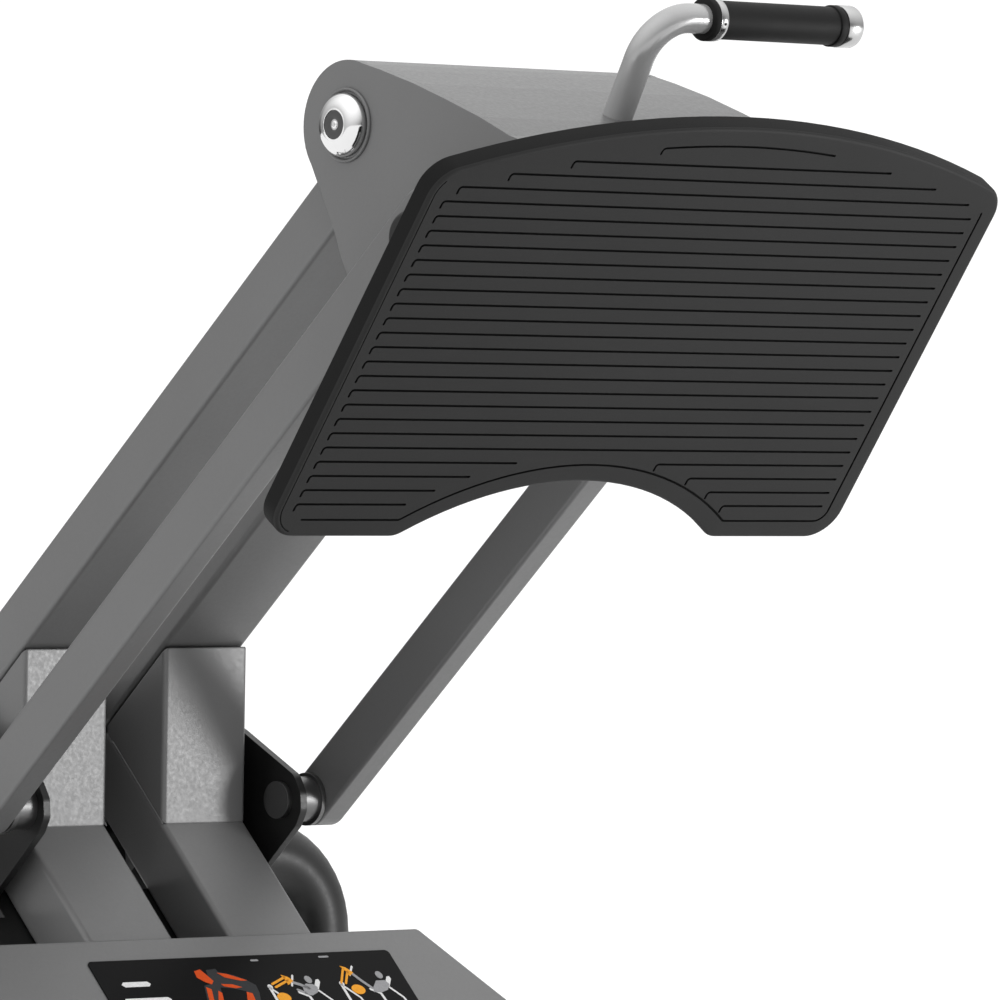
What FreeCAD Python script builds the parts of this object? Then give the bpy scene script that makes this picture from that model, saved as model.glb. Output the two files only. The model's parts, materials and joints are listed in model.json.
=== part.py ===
import FreeCAD, Part
import math
import os

# Plate-loaded leg press: four-bar linkage, foot-plate carriage, weight arm and sliding seat. Millimetres.
# X is the user's right, Y the way the user faces, Z up. Drawn about the stop-block corner, moved to the
# floor and the middle of the bounding box when written.
os.makedirs("parts", exist_ok=True)
V = FreeCAD.Vector

# linkage pivots (y, z): the four points form an exact parallelogram
P2 = (-37.0, -61.5)
U1 = (-518.0, 558.0)
U2 = (-661.0, 472.0)
P1 = (U1[0] - U2[0] + P2[0], U1[1] - U2[1] + P2[1])
FLOOR = -701.5

# frame
TUBE_W, TUBE_D, WALL = 103.0, 62.0, 3.0
TUBE_X = 86.25
LEAN = math.radians(46)
COLUMN_TOP = (-2.4, -80.6)
BLOCK_FRONT, REST_Z, REST_SLOPE, STOP_PAD = -9.0, 79.1, math.tan(math.radians(41)), 2.0
RAIL_W, RAIL_H, RAIL_Y = 100.0, 80.0, (-1780.0, 173.0)
RAIL_TOP = FLOOR + 12.0 + RAIL_H
FOOT_HALF, FOOT_D = {"front": 500.0, "rear": 330.0}, 80.0
STAND_Y, STAND_X, STAND_Z, STAND_R, STAND_BEND = 213.0, 408.5, -126.0, 38.0, 77.0
HEAD_X = (137.75, 147.75)
EAR_X = (154.0, 162.0)
HOUSING_T, CARD_X = 8.5, (-165.0, 206.0)

# moving linkage
LINK_W, LINK_D, LINK_ROUND = 100.0, 50.8, 5.0
SHAFT_R, PIN_R, RUN = 15.0, 12.5, 0.05
ROD_X = (191.0, 221.0)
SIDE_X = (172.0, 180.0)
CAP_RIM = 4.0
KEEPER = (U2[0] + 8.6, U2[1] - 19.0)
CROSS = (P1[0] + 400 * math.cos(math.radians(275)), P1[1] + 400 * math.sin(math.radians(275)))
HORN = (-150.0, -400.0)
HORN_R, HORN_LEN = 25.0, 320.0
ARM_X = (335.0, 365.0)

# foot plate, in its own plane
PLATE_FOOT, PLATE_LEAN, PLATE_T = (-597.0, 189.2), math.radians(36.67), 20.0
PLATE_HALF = 343.8
PLATE_TOP, PLATE_CROWN, ARCH_TOP, ARCH_R = 447.0, 1000.0, 62.0, 325.0
GROOVES, GROOVE_PITCH, GROOVE_FIRST, GROOVE_MID, GROOVE_SPAN = 25, 15.4, 36.4, -5.7, 319.3

# seat
SEAT_FRONT, SEAT_LEN, SEAT_TILT = (-905.0, -345.0), 430.0, math.radians(6)
BACK_FOOT, BACK_LEN, BACK_LEAN = (-1345.0, -372.0), 760.0, math.radians(48)
PAD_T, BOARD_T = 62.0, 12.0
SLIDER_Y = (-1690.0, -1080.0)
LOCK_Y = -1380.0

parts = {}


def add(name, shape):
    parts[name] = shape.removeSplitter()


def add_pair(name, shape):
    """Store a piece built on the user's right and its mirror image on the left."""
    add(name + "_right", shape)
    add(name + "_left", shape.mirror(V(0, 0, 0), V(1, 0, 0)))


def box(x, y, z):
    return Part.makeBox(x[1] - x[0], y[1] - y[0], z[1] - z[0], V(x[0], y[0], z[0]))


def disc(x, centre, radius):
    """Cylinder along X between two x values."""
    return Part.makeCylinder(radius, x[1] - x[0], V(x[0], *centre), V(1, 0, 0))


def slab(x, profile):
    """Side-view outline extruded between two x values."""
    points = [V(x[0], y, z) for y, z in profile]
    return Part.Face(Part.makePolygon(points + points[:1])).extrude(V(x[1] - x[0], 0, 0))


def soften(shape, radius, keep):
    """Round the edges for which keep(edge) is true."""
    return shape.makeFillet(radius, [e for e in shape.Edges if keep(e)])


def along(direction):
    """Pick straight edges that run in a direction."""
    def keep(edge):
        if len(edge.Vertexes) < 2 or not isinstance(edge.Curve, Part.Line):
            return False
        run = edge.Vertexes[1].Point - edge.Vertexes[0].Point
        return run.cross(direction).Length < 1e-6 * run.Length
    return keep


def bar(p, q, width, depth, x=0.0, wall=WALL, corner=5.0):
    """Rectangular tube with its centre line from p to q in the side view."""
    length = math.hypot(q[0] - p[0], q[1] - p[1])
    body = Part.makeBox(width, length, depth, V(-width / 2, 0, -depth / 2))
    body = soften(body, corner, along(V(0, 1, 0)))
    corner_point = V(wall - width / 2, 0, wall - depth / 2)
    body = body.cut(Part.makeBox(width - 2 * wall, length, depth - 2 * wall, corner_point))
    body.rotate(V(0, 0, 0), V(1, 0, 0), math.degrees(math.atan2(q[1] - p[1], q[0] - p[0])))
    body.translate(V(x, *p))
    return body


def pipe(points, radius, bend):
    """Round bar along straight runs joined by bends."""
    points = [V(*p) for p in points]
    edges, start = [], points[0]
    for a, b, c in zip(points, points[1:], points[2:]):
        u, v = (a - b).normalize(), (c - b).normalize()
        half = u.getAngle(v) / 2
        reach = bend / math.tan(half)
        middle = b + (u + v).normalize() * (bend / math.sin(half) - bend)
        edges.append(Part.makeLine(start, b + u * reach))
        edges.append(Part.Arc(b + u * reach, middle, b + v * reach).toShape())
        start = b + v * reach
    edges.append(Part.makeLine(start, points[-1]))
    ring = Part.Wire(Part.makeCircle(radius, points[0], points[1] - points[0]))
    return Part.Wire(edges).makePipeShell([ring], True, False)


def column(s, d=0.0):
    """Point s down the columns' front face and d out of it."""
    return (COLUMN_TOP[0] - s * math.cos(LEAN) - d * math.sin(LEAN),
            COLUMN_TOP[1] - s * math.sin(LEAN) + d * math.cos(LEAN))


def stadium(x, a, b, radius):
    """Flat bar with round ends about a and b."""
    length = math.hypot(b[0] - a[0], b[1] - a[1])
    ny, nz = -(b[1] - a[1]) / length * radius, (b[0] - a[0]) / length * radius
    web = slab(x, [(a[0] + ny, a[1] + nz), (b[0] + ny, b[1] + nz),
                   (b[0] - ny, b[1] - nz), (a[0] - ny, a[1] - nz)])
    return web.fuse([disc(x, a, radius), disc(x, b, radius)]).removeSplitter()


def hollow(x, a, b, half, wall, reach):
    """Cavity of a link tube, stopping short of both pivots."""
    length = math.hypot(b[0] - a[0], b[1] - a[1])
    uy, uz = (b[0] - a[0]) / length, (b[1] - a[1]) / length
    h = half - wall
    ends = [(a[0] + uy * reach, a[1] + uz * reach), (b[0] - uy * reach, b[1] - uz * reach)]
    (y0, z0), (y1, z1) = ends
    return slab((x[0] + wall, x[1] - wall),
                [(y0 - uz * h, z0 + uy * h), (y1 - uz * h, z1 + uy * h),
                 (y1 + uz * h, z1 - uy * h), (y0 + uz * h, z0 - uy * h)])


# ---- base and post -----------------------------------------------------------------------------------
rail = box((-RAIL_W / 2, RAIL_W / 2), RAIL_Y, (RAIL_TOP - RAIL_H, RAIL_TOP))
rail = soften(rail, 6, along(V(0, 1, 0)))
rail = rail.cut(box((WALL - RAIL_W / 2, RAIL_W / 2 - WALL), RAIL_Y,
                    (RAIL_TOP - RAIL_H + WALL, RAIL_TOP - WALL)))
slot = box((0, RAIL_W), (LOCK_Y - 8, LOCK_Y + 208), (RAIL_TOP - 47, RAIL_TOP - 33))
add("base_rail", rail.cut(slot))

for name, y in (("front", RAIL_Y[1] + FOOT_D / 2), ("rear", RAIL_Y[0] - FOOT_D / 2)):
    half = FOOT_HALF[name]
    foot = box((-half, half), (y - FOOT_D / 2, y + FOOT_D / 2), (RAIL_TOP - RAIL_H, RAIL_TOP))
    foot = soften(foot, 6, lambda e: True)
    inside = box((WALL - half, half - WALL), (y - FOOT_D / 2 + WALL, y + FOOT_D / 2 - WALL),
                 (RAIL_TOP - RAIL_H + WALL, RAIL_TOP - WALL))
    add(name + "_foot", foot.cut(inside))
    pad = Part.makeCylinder(32, 12, V(half - 45, y, FLOOR))
    add_pair(name + "_foot_pad", soften(pad, 3, lambda e: abs(e.BoundBox.ZMax - FLOOR) < 0.01))

legs = [(-STAND_X, STAND_Y, RAIL_TOP), (-STAND_X, STAND_Y, STAND_Z), (STAND_X, STAND_Y, STAND_Z),
        (STAND_X, STAND_Y, RAIL_TOP)]
add("stand", pipe(legs, STAND_R, STAND_BEND).cut(pipe(legs, STAND_R - WALL, STAND_BEND)))
beam = box((-HEAD_X[0], HEAD_X[0]), (STAND_Y - 28, STAND_Y + 40), (STAND_Z + STAND_R, -12.0))
beam = soften(beam, 6, along(V(1, 0, 0)))
add("head_beam", beam.cut(box((-HEAD_X[0], HEAD_X[0]), (STAND_Y - 25, STAND_Y + 37),
                              (STAND_Z + STAND_R + WALL, -15.0))))

# ---- head plates, stop blocks, columns ---------------------------------------------------------------
head = slab(HEAD_X, [(26, -58), (40, 26), (76, 62), (136, 62), (262, -8), (262, -158),
                     (238, -178), (186, -178), (60, -118)])
head = soften(head, 10, along(V(1, 0, 0)))
add_pair("head_plate", head.cut([disc((130, 160), P1, SHAFT_R),
                                 disc((130, 160), (STAND_Y, STAND_Z), STAND_R)]))



def rest(y, drop=0.0):
    """Point on the sloping seat of the upper links, or some way below it."""
    return (y, REST_Z - y * REST_SLOPE - drop)


block_x = (TUBE_X - TUBE_W / 2, TUBE_X + TUBE_W / 2)
back_y = 78.0
block = slab(block_x, [rest(BLOCK_FRONT, STOP_PAD), column(3.7),
                       column((COLUMN_TOP[0] - back_y) / math.cos(LEAN)), rest(back_y, STOP_PAD)])
add_pair("stop_block", soften(block, 5, lambda e: e.BoundBox.ZLength > 50 and e.BoundBox.YMax < -4))
add_pair("stop_pad", slab((block_x[0] + 2, block_x[1] - 2), [
    rest(BLOCK_FRONT + 2, STOP_PAD), rest(BLOCK_FRONT + 2),
    rest(back_y - 4), rest(back_y - 4, STOP_PAD)]))

base_plate = box((-150, 150), (-580, -400), (RAIL_TOP, RAIL_TOP + 12))
add("column_foot", soften(base_plate, 10, along(V(0, 0, 1))))
half = TUBE_D / 2
tube = bar(column(860, -half), column(-117, -half), TUBE_W, TUBE_D, TUBE_X)
add_pair("column", tube.common(box((0, 200), (-900, 300), (RAIL_TOP + 12, 200))))
# ---- ear brackets with the lower pivot pins ----------------------------------------------------------
ear = slab(EAR_X, [(60, 22), (20, 4), (-57, -37), (P2[0] - 30, P2[1] + 8), (P2[0] - 31, P2[1] - 10),
                   (-60, -86), (20, -158), (60, -158)])
ear = soften(ear, 14, along(V(1, 0, 0)))
ear = ear.fuse(slab((HEAD_X[1], EAR_X[0]), [(52, -90), (52, 0), (40, 0), (30, -50), (30, -90)]))
add_pair("ear_bracket", ear.cut(disc((140, 170), P2, PIN_R)))
pin = disc((EAR_X[0] - 5, EAR_X[0]), P2, 18).fuse([disc((EAR_X[0], ROD_X[1] + 1), P2, PIN_R),
      disc((EAR_X[1], ROD_X[0] - 5), P2, 22), disc((ROD_X[0] - 5, ROD_X[0] - 0.4), P2, 25.5)])
pin = pin.cut(disc((ROD_X[1] - 6, ROD_X[1] + 1), P2, 4))
add_pair("lower_pivot_pin", pin)
add("upper_pivot_shaft", disc((-156, 156), P1, SHAFT_R))

# ---- placard housing ---------------------------------------------------------------------------------
top, wide, widest, low, end = 154.5, 249.0, 290.0, 470.0, 600.0
outline = [(-260, top), (260, top), (317, wide), (330, widest), (330, low), (250, end), (-250, end),
           (-330, low), (-330, widest), (-317, wide)]


def panel(points, d0, d1):
    """Outline on the columns' face, as a plate from height d0 to d1 above it."""
    corners = [V(x, *column(s, d0)) for x, s in points]
    rise = V(0, *column(0, d1)) - V(0, *column(0, d0))
    return Part.Face(Part.makePolygon(corners + corners[:1])).extrude(rise)


normal = V(0, -math.sin(LEAN), math.cos(LEAN))
housing = soften(panel(outline, 0.0, HOUSING_T), 6, along(normal))
inner = [(x - math.copysign(3, x), s + (3 if s < 300 else -3)) for x, s in outline]
add("placard_housing", housing.cut(panel(inner, 0.0, HOUSING_T - 3)))
left, right = CARD_X
card = panel([(left, 180), (right, 180), (right, 490), (left, 490)], HOUSING_T, HOUSING_T + 1)
add("placard", soften(card, 5, along(normal)))
web_in, web_out, web_step = EAR_X[0] - 0.5, 200, 60
# the upper edge is notched for the weight arm's drop bar
web_half = [(40, 30), (40, 0), (web_in, 0), (web_in, web_step), (web_out, web_step), (web_out, 640)]
add("column_web", panel([(-x, s) for x, s in web_half[::-1]] + web_half, -TUBE_D - 8, -TUBE_D))

# ---- upper links with the weight arm -----------------------------------------------------------------
link_x = (TUBE_X - LINK_W / 2, TUBE_X + LINK_W / 2)
link = soften(stadium(link_x, P1, U1, LINK_D / 2), LINK_ROUND, lambda e: e.BoundBox.XLength < 0.01)
link = link.cut(hollow(link_x, P1, U1, LINK_D / 2, WALL, 45.0))
add_pair("upper_link", link.cut([disc((0, 200), P1, SHAFT_R + RUN), disc((0, 200), U1, SHAFT_R + RUN)]))
hub = disc((-link_x[0], link_x[0]), P1, 25.0).cut(disc((-60, 60), P1, SHAFT_R + RUN))
drop = stadium((-25, 25), P1, CROSS, 18.0).cut([disc((-60, 60), P1, 20.0), disc((-60, 60), CROSS, 23.0)])
cross_tube = disc((-ARM_X[0], ARM_X[0]), CROSS, 25.0).cut(disc((-ARM_X[0], ARM_X[0]), CROSS, 21.0))
add("weight_yoke", hub.fuse([drop, cross_tube]))
arm = soften(stadium(ARM_X, CROSS, HORN, 36.0), 5, lambda e: e.BoundBox.XLength < 0.01)
add_pair("weight_arm", arm)
tip = ARM_X[1] + 12 + HORN_LEN
horn = disc((ARM_X[1], ARM_X[1] + 12), HORN, 45).fuse(disc((ARM_X[1] + 12, tip), HORN, HORN_R))
nose = soften(disc((tip, tip + 6), HORN, 24.0), 4, lambda e: e.BoundBox.XMin > tip + 5.9)
add_pair("weight_horn", horn.fuse(nose))

# ---- carriage ----------------------------------------------------------------------------------------
up = (-math.sin(PLATE_LEAN), math.cos(PLATE_LEAN))
back = (math.cos(PLATE_LEAN), math.sin(PLATE_LEAN))


def plate_point(s, d):
    """Point s up the foot plate and d behind its tread."""
    return (PLATE_FOOT[0] + up[0] * s + back[0] * d, PLATE_FOOT[1] + up[1] * s + back[1] * d)


BACKING = 6.0
crown = [(-518, 616.5), (-541, 612), (-563, 606), (-608, 592), (-652, 576), (-696, 559), (-736, 541)]
rear_edge = PLATE_T + BACKING
low_point, high_point = plate_point(58, rear_edge), plate_point(392, rear_edge)
side = slab(SIDE_X, crown + [high_point, low_point, (-511, 440), (-501, 465), (-462, 540)])
side = side.fuse(disc(SIDE_X, U1, 58.5)).removeSplitter()
side = side.cut([disc((160, 190), U1, SHAFT_R), disc((160, 190), U2, PIN_R)])
add_pair("carriage_side", side)

cover = slab((-SIDE_X[0], SIDE_X[0]), crown + [high_point, plate_point(387, rear_edge)]
             + [(y, z - 4.3) for y, z in reversed(crown)])
wrap = disc((-SIDE_X[0], SIDE_X[0]), U1, 58.5).cut(disc((-SIDE_X[0], SIDE_X[0]), U1, 54.3))
wrap = wrap.common(box((-SIDE_X[0], SIDE_X[0]), (U1[0], U1[0] + 80), (U1[1] + 8, U1[1] + 80)))
add("carriage_cover", cover.fuse(wrap))
add("foot_plate_backing", slab((-185, 185), [plate_point(66, PLATE_T), plate_point(66, rear_edge),
                                              plate_point(398, rear_edge), plate_point(398, PLATE_T)]))


# drawn flat: x across, y up the plate, tread at z = 0
plate = box((-PLATE_HALF, PLATE_HALF), (0, 500), (-PLATE_T, 0))
plate = plate.common(Part.makeCylinder(PLATE_CROWN, PLATE_T, V(0, PLATE_TOP - PLATE_CROWN, -PLATE_T)))
plate = plate.cut(Part.makeCylinder(ARCH_R, PLATE_T, V(0, ARCH_TOP - ARCH_R, -PLATE_T)))
plate = soften(plate, 32, lambda e: along(V(0, 0, 1))(e) and e.BoundBox.XMin > 300 or
               along(V(0, 0, 1))(e) and e.BoundBox.XMax < -300)
plate = soften(plate, 24, lambda e: along(V(0, 0, 1))(e) and abs(e.BoundBox.Center.x) < 200)
plate = soften(plate, 5.5, lambda e: e.BoundBox.ZMin > -0.01)
grooves = []
for i in range(GROOVES):
    s = GROOVE_FIRST + i * GROOVE_PITCH
    crown_gap = (PLATE_CROWN - 22) ** 2 - (s - PLATE_TOP + PLATE_CROWN) ** 2
    span = min(GROOVE_SPAN, math.sqrt(crown_gap))
    arch_gap = (ARCH_R + 31) ** 2 - (s - ARCH_TOP + ARCH_R) ** 2
    gap = math.sqrt(arch_gap) if arch_gap > 0 else 0.0
    left, right = GROOVE_MID - span, GROOVE_MID + span
    runs = [(left, -gap), (gap, right)] if gap else [(left, right)]
    grooves += [box(run, (s - 1.2, s + 1.2), (-1.2, 1.0)) for run in runs]
plate = plate.cut(grooves)
plate.rotate(V(0, 0, 0), V(1, 0, 0), 90 + math.degrees(PLATE_LEAN))
plate.translate(V(0, *PLATE_FOOT))
add("foot_plate", plate)

add("carriage_shaft", disc((-SIDE_X[1], SIDE_X[1]), U1, SHAFT_R))
cap_x = SIDE_X[1] + CAP_RIM
bowl_r = (29 ** 2 + 14 ** 2) / 28.0
bowl = Part.makeSphere(bowl_r, V(cap_x + 14 - bowl_r, *U1)).common(disc((cap_x, cap_x + 24), U1, 29))
cap = disc((SIDE_X[1], cap_x), U1, 31).fuse(bowl)
add_pair("shaft_cap", cap.cut(disc((cap_x + 11, cap_x + 24), U1, 13)))
pin = disc((SIDE_X[0] - 6, SIDE_X[0]), U2, 18).fuse([disc((SIDE_X[0], ROD_X[1] + 1), U2, PIN_R),
      disc((SIDE_X[1], ROD_X[0] - 0.4), U2, 20), disc((ROD_X[1] + 1, ROD_X[1] + 8), KEEPER, 24)])
add_pair("carriage_pin", soften(pin, 5, lambda e: e.BoundBox.XMin > ROD_X[1] + 7.9))

rod = soften(stadium(ROD_X, P2, U2, LINK_D / 2), LINK_ROUND - 1, lambda e: e.BoundBox.XLength < 0.01)
rod = rod.cut(hollow(ROD_X, P2, U2, LINK_D / 2, WALL, 42.0))
add_pair("lower_link", rod.cut([disc((180, 230), P2, PIN_R + RUN), disc((180, 230), U2, PIN_R + RUN)]))

# ---- carriage hand grip ------------------------------------------------------------------------------
grip_at, grip_end = (-729.0, 653.0), 224
stem = pipe([(0, -678, 561), (0, *grip_at), (61, *grip_at)], 13.5, 42)
below = slab((-60, 60), crown + [high_point, low_point])
collar = soften(disc((61, 69), grip_at, 19.5), 2, lambda e: e.BoundBox.XLength < 0.01)
add("grip_stem", stem.cut(below).fuse([disc((61, grip_end), grip_at, 11), collar]))
add("grip_sleeve", disc((69, grip_end), grip_at, 17.5).cut(disc((60, grip_end), grip_at, 11)))
knob = disc((grip_end, grip_end + 19), grip_at, 19.5)
add("grip_end", soften(knob, 2.5, lambda e: e.BoundBox.XLength < 0.01))

# ---- seat --------------------------------------------------------------------------------------------
slider_top = RAIL_TOP + 0.5
outer = box((-57, 57), SLIDER_Y, (slider_top - 50, slider_top + 6))
outer = soften(outer, 4, along(V(0, 1, 0)))
outer = outer.cut(box((-50.5, 50.5), SLIDER_Y, (slider_top - 60, slider_top)))
lock_z = RAIL_TOP - 40
boss = disc((57, 70), (LOCK_Y, lock_z), 14)
outer = outer.fuse(boss).cut(disc((40, 80), (LOCK_Y, lock_z), 6 + RUN))
add("seat_slider", outer)
lock = disc((40, 90), (LOCK_Y, lock_z), 6).fuse(soften(disc((71, 100), (LOCK_Y, lock_z), 22), 5,
                                                       lambda e: e.BoundBox.XMin > 99.9))
add("lock_knob", lock)
deck = slider_top + 6


def seat_point(s, d):
    """Point s back along the cushion top and d below it."""
    return (SEAT_FRONT[0] - s * math.cos(SEAT_TILT) + d * math.sin(SEAT_TILT),
            SEAT_FRONT[1] - s * math.sin(SEAT_TILT) - d * math.cos(SEAT_TILT))


def back_point(s, d):
    """Point s up the backrest's face and d behind it."""
    return (BACK_FOOT[0] - s * math.cos(BACK_LEAN) - d * math.sin(BACK_LEAN),
            BACK_FOOT[1] + s * math.sin(BACK_LEAN) - d * math.cos(BACK_LEAN))


def cushion(point, length, half_low, half_high, corner):
    """Pad drawn in its own plane: tapered outline, round corners, soft rim."""
    corners = [V(-half_low, *point(0, PAD_T)), V(half_low, *point(0, PAD_T)),
               V(half_high, *point(length, PAD_T)), V(-half_high, *point(length, PAD_T))]
    rise = V(0, *point(0, 0)) - V(0, *point(0, PAD_T))
    body = Part.Face(Part.makePolygon(corners + corners[:1])).extrude(rise)
    body = soften(body, corner, along(rise))
    plane = V(0, *point(0, 0))
    axis = V(rise).normalize()
    return soften(body, 14, lambda e: all(abs((v.Point - plane).dot(axis)) < 0.01 for v in e.Vertexes))


def board(point, s, d, half):
    return slab((-half, half), [point(s[0], d[0]), point(s[1], d[0]),
                                point(s[1], d[1]), point(s[0], d[1])])


add("seat_pad", cushion(seat_point, SEAT_LEN, 225, 205, 45))
add("seat_board", board(seat_point, (20, SEAT_LEN - 20), (PAD_T, PAD_T + BOARD_T), 180))
add("back_pad", cushion(back_point, BACK_LEN, 200, 150, 55))
add("back_board", board(back_point, (30, BACK_LEN - 40), (PAD_T, PAD_T + BOARD_T), 130))

seat_under = PAD_T + BOARD_T
stem = soften(box((-30, 30), (-1210, -1110), (deck, -300)), 5, along(V(0, 0, 1)))
keep = slab((-60, 60), [seat_point(-50, seat_under), seat_point(600, seat_under),
                        (-1600, -700), (-700, -700)])
add("seat_post", stem.cut(box((-27, 27), (-1207, -1113), (deck, -300))).common(keep))
spine_d = seat_under + 25
spine = bar(back_point(-300, spine_d), back_point(640, spine_d), 60.0, 50.0)
add("back_spine", spine.common(box((-60, 60), (-2200, -900), (deck, 300))))
strut = box((-25, 25), (-1665, -1615), (deck, 0))
strut = soften(strut, 5, along(V(0, 0, 1))).cut(box((-22, 22), (-1662, -1618), (deck, 0)))
below = slab((-60, 60), [back_point(-300, seat_under + 50), back_point(640, seat_under + 50),
                         (-1900, -700), (-1100, -700)])
add("back_strut", strut.common(below))
add_pair("seat_handle", pipe([(30, -1150, -520), (268, -1150, -520), (268, -1150, -330),
                              (268, -985, -330)], 13.5, 45))

# ---- write -------------------------------------------------------------------------------------------
whole = Part.makeCompound(list(parts.values())).BoundBox
shift = V(0, -(whole.YMin + whole.YMax) / 2, -FLOOR)
for name, shape in parts.items():
    shape.translate(shift)
    shape.exportStep("parts/" + name + ".step")
print(len(parts), "parts, shift", shift.y, shift.z, "box", whole.XLength, whole.YLength, whole.ZLength)
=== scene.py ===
import bpy
import bmesh
import json
import math
import numpy as np
from mathutils import Matrix, Vector
from mathutils.geometry import delaunay_2d_cdt


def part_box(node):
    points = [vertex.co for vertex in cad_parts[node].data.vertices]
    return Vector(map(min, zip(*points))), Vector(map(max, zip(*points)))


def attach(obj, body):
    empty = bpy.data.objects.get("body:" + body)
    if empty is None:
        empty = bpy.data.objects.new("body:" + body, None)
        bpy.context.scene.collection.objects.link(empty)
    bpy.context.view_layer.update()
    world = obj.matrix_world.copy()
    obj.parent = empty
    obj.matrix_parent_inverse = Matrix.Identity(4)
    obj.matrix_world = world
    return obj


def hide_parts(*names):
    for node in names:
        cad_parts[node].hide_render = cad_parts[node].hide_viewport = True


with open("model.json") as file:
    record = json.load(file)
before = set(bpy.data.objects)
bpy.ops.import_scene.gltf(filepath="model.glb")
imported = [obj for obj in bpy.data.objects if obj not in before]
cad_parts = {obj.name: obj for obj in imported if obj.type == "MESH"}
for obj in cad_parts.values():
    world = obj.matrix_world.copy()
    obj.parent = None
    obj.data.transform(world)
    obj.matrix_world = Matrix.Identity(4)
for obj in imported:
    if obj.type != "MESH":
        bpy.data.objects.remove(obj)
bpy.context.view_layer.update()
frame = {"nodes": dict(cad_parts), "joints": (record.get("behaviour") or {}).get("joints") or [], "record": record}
NODES = frame["nodes"]


# ---- the CAD's own numbers, in metres ------------------------------------------------------------------
JOINT = {j["name"]: j for j in frame["joints"]}
U1 = Vector(JOINT["carriage_pivot"]["pos_m"])
P2 = Vector(JOINT["lower_link_left_pivot"]["pos_m"])
FRONT = Vector((0, P2.y + 0.037, P2.z + 0.0615))       # stop-block corner, the CAD drawing's origin
LEAN, PLATE_LEAN = math.radians(46), math.radians(36.67)
COLUMN_TOP = FRONT + Vector((0, -0.0024, -0.0806))
PLATE_FOOT, PLATE_T = FRONT + Vector((0, -0.597, 0.1892)), 0.020
SEAT_TILT, BACK_LEAN = math.radians(6), math.radians(48)
PAD_T = 0.062
PLATE_UP = Vector((0, -math.sin(PLATE_LEAN), math.cos(PLATE_LEAN)))
PLATE_BACK = Vector((0, math.cos(PLATE_LEAN), math.sin(PLATE_LEAN)))


# ---- materials ---------------------------------------------------------------------------------------
class Nodes:
    """A short way to write a node tree."""

    def __init__(self, name):
        self.mat = bpy.data.materials.new(name)
        self.mat.use_nodes = True
        self.tree = self.mat.node_tree
        self.tree.nodes.clear()
        self.out = self.new("ShaderNodeOutputMaterial")
        self.bsdf = self.new("ShaderNodeBsdfPrincipled")
        self.link(self.bsdf.outputs[0], self.out.inputs[0])
        self.coord = self.new("ShaderNodeTexCoord").outputs["Object"]

    def new(self, kind, **props):
        node = self.tree.nodes.new(kind)
        for key, value in props.items():
            setattr(node, key, value)
        return node

    def link(self, a, b):
        self.tree.links.new(a, b)

    def set(self, node, **values):
        for key, value in values.items():
            socket = node.inputs[key.replace("_", " ")]
            if isinstance(value, bpy.types.NodeSocket):
                self.link(value, socket)
            else:
                socket.default_value = value
        return node

    def noise(self, scale, detail=4.0, rough=0.55, vector=None):
        node = self.new("ShaderNodeTexNoise")
        self.set(node, Scale=scale, Detail=detail, Roughness=rough)
        self.link(vector or self.coord, node.inputs["Vector"])
        return node.outputs["Fac"]

    def voronoi(self, scale, feature="F1"):
        node = self.new("ShaderNodeTexVoronoi", feature=feature)
        self.set(node, Scale=scale)
        self.link(self.coord, node.inputs["Vector"])
        return node.outputs["Distance"]

    def math(self, op, a, b=0.0):
        node = self.new("ShaderNodeMath", operation=op)
        for i, value in enumerate((a, b)):
            if isinstance(value, bpy.types.NodeSocket):
                self.link(value, node.inputs[i])
            else:
                node.inputs[i].default_value = value
        return node.outputs[0]

    def remap(self, value, lo, hi, a=0.0, b=1.0):
        node = self.new("ShaderNodeMapRange")
        self.link(value, node.inputs["Value"])
        for key, v in (("From Min", lo), ("From Max", hi), ("To Min", a), ("To Max", b)):
            node.inputs[key].default_value = v
        return node.outputs["Result"]

    def mix(self, factor, a, b):
        node = self.new("ShaderNodeMix", data_type="RGBA")
        for key, value in (("Factor", factor), ("A", a), ("B", b)):
            socket = [s for s in node.inputs if s.name == key and s.type in ("RGBA", "VALUE")]
            socket = socket[0] if key == "Factor" else [s for s in socket if s.type == "RGBA"][0]
            if isinstance(value, bpy.types.NodeSocket):
                self.link(value, socket)
            else:
                socket.default_value = value
        return [s for s in node.outputs if s.type == "RGBA"][0]

    def bump(self, height, strength, distance, normal=None):
        node = self.new("ShaderNodeBump")
        self.set(node, Strength=strength, Distance=distance)
        self.link(height, node.inputs["Height"])
        if normal is not None:
            self.link(normal, node.inputs["Normal"])
        return node.outputs["Normal"]

    def soft_edges(self, radius):
        node = self.new("ShaderNodeBevel", samples=4)
        node.inputs["Radius"].default_value = radius
        return node.outputs["Normal"]

    def finish(self, color, rough, normal=None, **values):
        self.set(self.bsdf, Base_Color=color, Roughness=rough, **values)
        if normal is not None:
            self.link(normal, self.bsdf.inputs["Normal"])
        return self.mat


def grey(v, tint=1.0):
    """A grey tone; a tint above 1 makes it a little cooler."""
    return (v, v * tint, v * tint * tint, 1.0)


def powder_coat(name, tone, rough, edge=0.0012):
    n = Nodes(name)
    fine, broad = n.noise(900.0, 2.0), n.noise(3.2, 3.0)
    peel = n.noise(260.0, 3.0, 0.6)
    color = n.mix(n.remap(broad, 0.35, 0.65), grey(tone * 0.95), grey(tone * 1.05, 1.004))
    color = n.mix(n.remap(fine, 0.62, 0.8, 0.0, 0.35), color, grey(min(1.0, tone * 1.35)))
    normal = n.bump(n.math("ADD", peel, n.math("MULTIPLY", fine, 0.6)), 0.12, 0.0003, n.soft_edges(edge))
    return n.finish(color, n.remap(peel, 0.3, 0.7, rough - 0.05, rough + 0.06), normal,
                    Metallic=0.35, Specular_IOR_Level=0.5, Coat_Weight=0.12, Coat_Roughness=0.3)


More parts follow.
